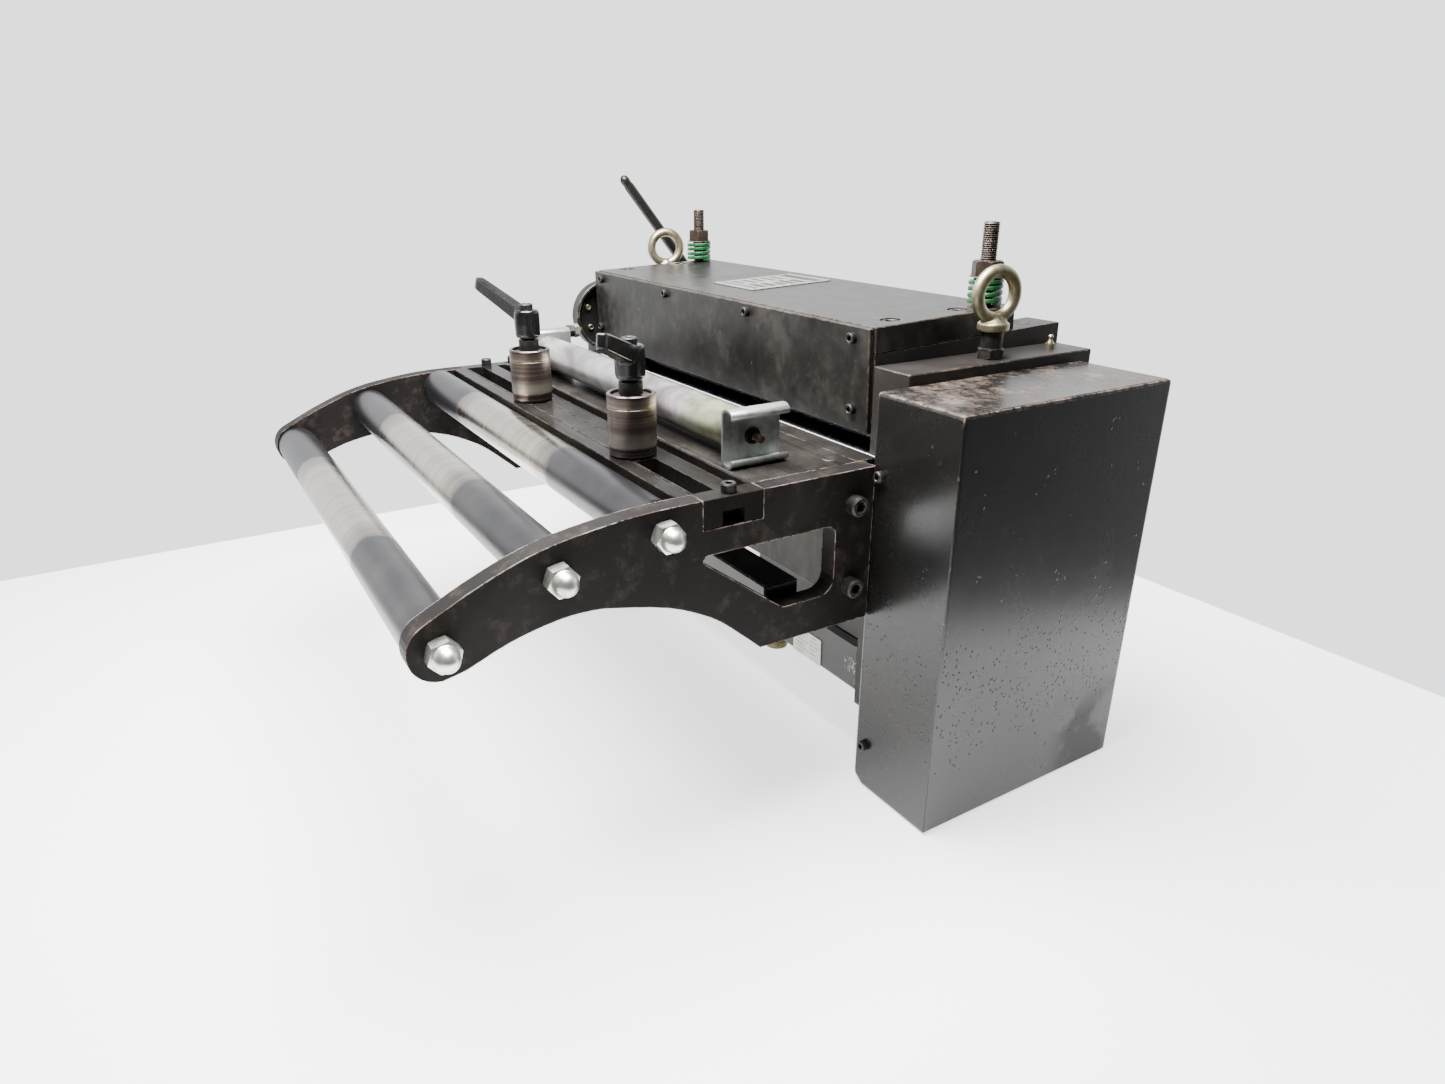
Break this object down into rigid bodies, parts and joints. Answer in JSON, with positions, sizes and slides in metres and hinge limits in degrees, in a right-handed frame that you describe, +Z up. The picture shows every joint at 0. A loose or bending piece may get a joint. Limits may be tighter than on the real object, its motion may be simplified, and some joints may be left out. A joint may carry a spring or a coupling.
{
  "type": "servo roll feeder",
  "caption": "Roll feeder for strip stock: curved roller entry table with sliding edge guides, spring-loaded feed rolls, belt guard and motor.",
  "frame": {"origin": "centre of the bounding box at its bottom, the level of the belt guard's lower edge", "axes": "+X along the roll axes toward the belt guard, +Y in the feed direction from the entry rollers to the exit, +Z up"},
  "size_m": [0.8131, 0.6982, 0.5642],
  "materials": {
    "black_paint": "gloss black sheet paint, chipped on the edges",
    "frame_paint": "satin black machined plate",
    "cover_steel": "oil-darkened steel with streaks",
    "table_steel": "worn dark steel, bright on the edges",
    "grey_steel": "grey pitted plate",
    "roller_steel": "grey rollers with a bright worn middle band",
    "guide_steel": "turned steel with worn bands",
    "zinc": "zinc plated",
    "yellow_zinc": "pale yellow zinc plated",
    "spring_green": "green coated spring wire",
    "black_oxide": "black oxide",
    "enamel_black": "gloss black enamel",
    "chrome_roll": "ground roll, dark and glossy",
    "rubber_black": "toothed belt rubber",
    "plate_silver": "thin silver plate, unlettered",
    "olive_plating": "olive plated connector shell",
    "motor_grey": "dark grey painted housing"
  },
  "bodies": {
    "machine": {"side_frame_right": "frame_paint", "side_frame_left": "frame_paint", "pivot_hub_left": "frame_paint", "pivot_pin_right": "black_oxide", "lower_front_plate": "grey_steel", "rear_cross_beam": "frame_paint", "entry_arm_right": "black_paint", "entry_arm_left": "black_paint", "arm_block_right": "frame_paint", "arm_block_left": "frame_paint", "arm_cross_beam": "black_paint", "table_front_strip": "table_steel", "slotted_slide_plate": "table_steel", "table_inset_plate": "table_steel", "table_rear_lip": "table_steel", "table_screw_right": "black_oxide", "table_screw_left": "black_oxide", "entry_axle_1": "zinc", "entry_axle_2": "zinc", "entry_axle_3": "zinc", "tube_bracket_right": "zinc", "tube_bracket_left": "zinc", "hold_down_shaft": "black_oxide", "spring_stud_right": "black_oxide", "spring_stud_left": "black_oxide", "die_spring_right": "spring_green", "die_spring_left": "spring_green", "eye_spacer_right": "black_oxide", "eye_spacer_left": "black_oxide", "eyebolt_right": "yellow_zinc", "eyebolt_left": "yellow_zinc", "drive_belt": "rubber_black", "motor_body": "motor_grey", "motor_mount_plate": "frame_paint", "motor_plate": "plate_silver", "motor_connector": "olive_plating", "belt_guard": "black_paint", "guard_screw_upper": "black_oxide", "guard_screw_lower": "black_oxide"},
    "yoke": {"yoke_bar_right": "frame_paint", "yoke_bar_left": "frame_paint", "yoke_top_block": "cover_steel", "yoke_front_cover": "cover_steel", "nameplate": "plate_silver"},
    "upper_roll": {"upper_feed_roll": "chrome_roll"},
    "lower_roll": {"lower_feed_roll": "chrome_roll", "roll_pulley": "black_oxide"},
    "motor_shaft": {"motor_pulley": "black_oxide"},
    "release": {"release_shaft": "black_oxide", "release_lever": "black_oxide"},
    "front_carriage": {"guide_post_front": "black_oxide"},
    "rear_carriage": {"guide_post_rear": "black_oxide"},
    "front_guide_roller": {"guide_roller_front": "guide_steel"},
    "rear_guide_roller": {"guide_roller_rear": "guide_steel"},
    "front_clamp": {"clamp_lever_front": "enamel_black"},
    "rear_clamp": {"clamp_lever_rear": "enamel_black"},
    "tube_roller": {"hold_down_tube": "zinc"},
    "entry_roller_a": {"entry_roller_1": "roller_steel"},
    "entry_roller_b": {"entry_roller_2": "roller_steel"},
    "entry_roller_c": {"entry_roller_3": "roller_steel"}
  },
  "joints": [
    {"name": "yoke_lift", "type": "hinge", "parent": "machine", "child": "yoke", "pos_m": [-0.04, 0.11386, 0.377], "axis": [1, 0, 0], "range_deg": [0, 1.6], "deforming": ["die_spring_right", "die_spring_left"]},
    {"name": "upper_roll_spin", "type": "hinge", "parent": "yoke", "child": "upper_roll", "pos_m": [-0.04, 0.16086, 0.37], "axis": [1, 0, 0], "continuous": true},
    {"name": "lower_roll_spin", "type": "hinge", "parent": "machine", "child": "lower_roll", "pos_m": [-0.04, 0.16086, 0.287], "axis": [1, 0, 0], "continuous": true},
    {"name": "motor_spin", "type": "hinge", "parent": "machine", "child": "motor_shaft", "pos_m": [0.3315, 0.13386, 0.089], "axis": [1, 0, 0], "continuous": true},
    {"name": "release_turn", "type": "hinge", "parent": "machine", "child": "release", "pos_m": [-0.04, 0.31386, 0.3861], "axis": [1, 0, 0], "range_deg": [-70, 0]},
    {"name": "front_guide_slide", "type": "slide", "parent": "machine", "child": "front_carriage", "axis": [1, 0, 0], "range_m": [0, 0.1]},
    {"name": "rear_guide_slide", "type": "slide", "parent": "machine", "child": "rear_carriage", "axis": [1, 0, 0], "range_m": [-0.16, 0]},
    {"name": "front_guide_spin", "type": "hinge", "parent": "front_carriage", "child": "front_guide_roller", "pos_m": [0.1645, -0.10014, 0.332], "axis": [0, 0, 1], "continuous": true},
    {"name": "rear_guide_spin", "type": "hinge", "parent": "rear_carriage", "child": "rear_guide_roller", "pos_m": [-0.0855, -0.10014, 0.332], "axis": [0, 0, 1], "continuous": true},
    {"name": "front_clamp_turn", "type": "hinge", "parent": "front_carriage", "child": "front_clamp", "pos_m": [0.1645, -0.10014, 0.4], "axis": [0, 0, 1], "range_deg": [-90, 90]},
    {"name": "rear_clamp_turn", "type": "hinge", "parent": "rear_carriage", "child": "rear_clamp", "pos_m": [-0.0855, -0.10014, 0.4], "axis": [0, 0, 1], "range_deg": [-90, 90]},
    {"name": "tube_roller_spin", "type": "hinge", "parent": "machine", "child": "tube_roller", "pos_m": [0.00815, -0.02214, 0.356], "axis": [1, 0, 0], "continuous": true},
    {"name": "entry_roller_a_spin", "type": "hinge", "parent": "machine", "child": "entry_roller_a", "pos_m": [-0.0023, -0.32514, 0.2615], "axis": [1, 0, 0], "continuous": true},
    {"name": "entry_roller_b_spin", "type": "hinge", "parent": "machine", "child": "entry_roller_b", "pos_m": [-0.0023, -0.23564, 0.2965], "axis": [1, 0, 0], "continuous": true},
    {"name": "entry_roller_c_spin", "type": "hinge", "parent": "machine", "child": "entry_roller_c", "pos_m": [-0.0023, -0.14714, 0.3115], "axis": [1, 0, 0], "continuous": true}
  ],
  "couplings": [
    {"joint": "upper_roll_spin", "follows": "lower_roll_spin", "ratio": -1.2},
    {"joint": "motor_spin", "follows": "lower_roll_spin", "ratio": 1.6429},
    {"joint": "yoke_lift", "follows": "release_turn", "ratio": -0.022857}
  ]
}
